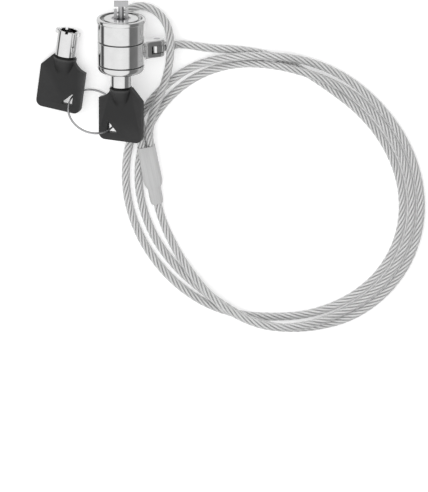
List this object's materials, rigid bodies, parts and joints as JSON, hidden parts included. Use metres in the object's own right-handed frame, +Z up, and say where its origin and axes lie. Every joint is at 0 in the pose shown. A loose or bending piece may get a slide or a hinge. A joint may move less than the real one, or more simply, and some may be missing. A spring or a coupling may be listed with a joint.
{
  "type": "cable lock",
  "caption": "Cable lock for luggage or a laptop: keyed T-bar lock head, swivel arm, coiled steel rope with a crimped eye, and keys on a split ring.",
  "frame": {"origin": "centre of the lock head's front rim face, on the lock axis", "axes": "+Y along the lock axis, out of the front face towards the T-bar's tip; +Z up from the table that the lock lies on"},
  "size_m": [0.1784, 0.1635, 0.0276],
  "materials": {
    "chrome": "polished",
    "steel": "satin",
    "brass": "machined",
    "black_nylon": "matte",
    "black_plastic": "fine moulded grain",
    "ferrule": "crimped",
    "grey_sleeve": "shrunk, slightly translucent",
    "jacketed_rope": "steel strands under a clear jacket"
  },
  "bodies": {
    "cable": {"cable_terminal": "chrome", "cable_lead": "jacketed_rope", "cable_coil": "jacketed_rope", "cable_tail": "jacketed_rope", "cable_eye": "jacketed_rope", "crimp_ferrule": "ferrule", "shrink_sleeve": "grey_sleeve"},
    "arm": {"swivel_ring": "chrome", "hinge_pin": "steel"},
    "lock_head": {"front_shell": "chrome", "face_plate": "chrome", "guard_collar": "steel", "lock_barrel": "steel", "pin_block": "brass", "block_pin": "steel", "swivel_washers": "black_nylon", "rear_cap": "chrome", "cap_dowels": "steel", "pin_springs": "steel"},
    "drivers": {"driver_pins": "brass"},
    "plug": {"rotor": "steel", "spindle": "steel", "drive_pin": "steel", "retaining_clip": "steel", "thrust_washer": "steel"},
    "tumblers": {"key_pins": "brass"},
    "key": {"key_tube": "chrome", "key_bow": "black_plastic"},
    "ring": {"split_ring": "steel"},
    "spare_key": {"spare_key_tube": "chrome", "spare_key_bow": "black_plastic"}
  },
  "joints": [
    {"name": "arm_hinge", "type": "hinge", "parent": "cable", "child": "arm", "pos_m": [0.01631, -0.0164, -0.00761], "axis": [0, 1, 0], "range_deg": [0, 35]},
    {"name": "head_swivel", "type": "hinge", "parent": "arm", "child": "lock_head", "pos_m": [0, -0.0164, 0], "axis": [0, -1, 0], "range_deg": [-150, 0]},
    {"name": "key_turn", "type": "hinge", "parent": "lock_head", "child": "plug", "pos_m": [0, -0.02, 0], "axis": [0, 1, 0], "range_deg": [0, 90]},
    {"name": "key_pull", "type": "slide", "parent": "plug", "child": "key", "axis": [0, 1, 0], "range_m": [-0.02, 0]},
    {"name": "key_pin_travel", "type": "slide", "parent": "plug", "child": "tumblers", "axis": [0, 1, 0], "range_m": [-0.0014, 0]},
    {"name": "driver_pin_travel", "type": "slide", "parent": "lock_head", "child": "drivers", "axis": [0, 1, 0], "range_m": [-0.0014, 0], "deforming": ["pin_springs"]},
    {"name": "ring_swing", "type": "hinge", "parent": "key", "child": "ring", "pos_m": [-0.00472, -0.05342, -0.00213], "axis": [0.6475, 0.3883, -0.6557], "range_deg": [-45, 10]},
    {"name": "spare_key_swing", "type": "hinge", "parent": "ring", "child": "spare_key", "pos_m": [-0.02301, -0.04121, -0.00898], "axis": [-0.4602, -0.5124, 0.725], "range_deg": [-15, 45]}
  ],
  "couplings": [
    {"joint": "key_pin_travel", "follows": "key_pull", "ratio": 0.07},
    {"joint": "driver_pin_travel", "follows": "key_pull", "ratio": 0.07}
  ]
}
